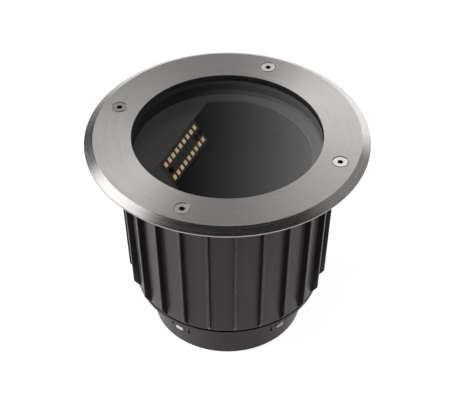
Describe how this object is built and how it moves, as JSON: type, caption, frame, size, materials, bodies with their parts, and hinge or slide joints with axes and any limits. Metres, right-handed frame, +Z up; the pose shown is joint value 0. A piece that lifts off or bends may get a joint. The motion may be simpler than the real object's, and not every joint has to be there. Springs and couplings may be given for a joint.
{
  "type": "recessed ground light",
  "caption": "Round in-ground uplight: ribbed sleeve on a clip-fit base, lift-out lamp, aimable LED optic under thick glass and a bevelled steel trim ring held by countersunk screws.",
  "frame": {"origin": "middle of the base's standing face", "axes": "+Z up along the lamp's axis towards the glass, -Y towards the viewer of the picture, +X to the viewer's right"},
  "size_m": [0.225, 0.225, 0.185],
  "materials": {
    "sleeve_plastic": "satin moulded plastic, dark warm grey",
    "black_rubber": "matt black rubber",
    "cast_aluminium": "die-cast aluminium, dark powder coat",
    "stainless": "brushed stainless steel",
    "plain_steel": "bright steel",
    "black_plastic": "matt black plastic",
    "white_plastic": "satin white plastic",
    "brass": "plain brass",
    "dark_plate": "dark anodised sheet",
    "bare_aluminium": "machined aluminium",
    "pad": "soft grey heat pad",
    "board": "black solder mask",
    "led_body": "LED body",
    "phosphor": "yellow phosphor",
    "reflector_plastic": "soft black reflector",
    "clear_glass": "thick clear toughened glass"
  },
  "bodies": {
    "sleeve": {"ribbed_sleeve": "sleeve_plastic", "snap_base": "sleeve_plastic", "cable_grommets": "black_rubber"},
    "lamp": {"lamp_housing": "cast_aluminium", "seat_seal": "black_rubber", "glass_gasket": "black_rubber", "thread_inserts": "plain_steel", "bottom_cover": "cast_aluminium", "bottom_gasket": "black_rubber", "bottom_screws": "plain_steel", "pivot_bolt": "plain_steel", "wave_washer": "plain_steel", "lead_bush": "black_rubber", "driver": "white_plastic", "driver_screws": "plain_steel", "terminal_block": "white_plastic", "terminal_screws": "brass", "terminal_fixings": "plain_steel", "earth_screw": "brass", "gland_body": "black_plastic", "gland_washer": "black_rubber", "gland_locknut": "black_plastic", "gland_seal": "black_rubber", "vent_plug": "black_plastic", "vent_nut": "black_plastic"},
    "optic": {"aiming_plate": "dark_plate", "optic_carrier": "bare_aluminium", "carrier_screws": "plain_steel", "thermal_pad": "pad", "led_board": "board", "led_packages": "led_body", "led_phosphors": "phosphor", "board_screws": "plain_steel", "wire_sleeve": "black_rubber", "reflector": "reflector_plastic"},
    "gland_nut": {"gland_nut": "black_plastic"},
    "cover": {"trim_ring": "stainless", "glass": "clear_glass", "glass_bond": "black_rubber"},
    "trim_screw_1": {"trim_screw_1": "stainless"},
    "trim_screw_2": {"trim_screw_2": "stainless"},
    "trim_screw_3": {"trim_screw_3": "stainless"},
    "trim_screw_4": {"trim_screw_4": "stainless"}
  },
  "joints": [
    {"name": "lamp_lift", "type": "slide", "parent": "sleeve", "child": "lamp", "axis": [0, 0, 1], "range_m": [0, 0.15]},
    {"name": "optic_turn", "type": "hinge", "parent": "lamp", "child": "optic", "pos_m": [0, 0, 0.12], "axis": [0, 0, 1], "range_deg": [-90, 90]},
    {"name": "gland_nut_turn", "type": "hinge", "parent": "lamp", "child": "gland_nut", "pos_m": [0, -0.024, 0.036], "axis": [0, 0, 1], "continuous": true},
    {"name": "cover_lift", "type": "slide", "parent": "lamp", "child": "cover", "axis": [0, 0, 1], "range_m": [0, 0.06]},
    {"name": "trim_screw_1_turn", "type": "hinge", "parent": "cover", "child": "trim_screw_1", "pos_m": [0.03371, 0.08646, 0.18], "axis": [0, 0, 1], "continuous": true},
    {"name": "trim_screw_2_turn", "type": "hinge", "parent": "cover", "child": "trim_screw_2", "pos_m": [-0.08646, 0.03371, 0.18], "axis": [0, 0, 1], "continuous": true},
    {"name": "trim_screw_3_turn", "type": "hinge", "parent": "cover", "child": "trim_screw_3", "pos_m": [-0.03371, -0.08646, 0.18], "axis": [0, 0, 1], "continuous": true},
    {"name": "trim_screw_4_turn", "type": "hinge", "parent": "cover", "child": "trim_screw_4", "pos_m": [0.08646, -0.03371, 0.18], "axis": [0, 0, 1], "continuous": true}
  ]
}
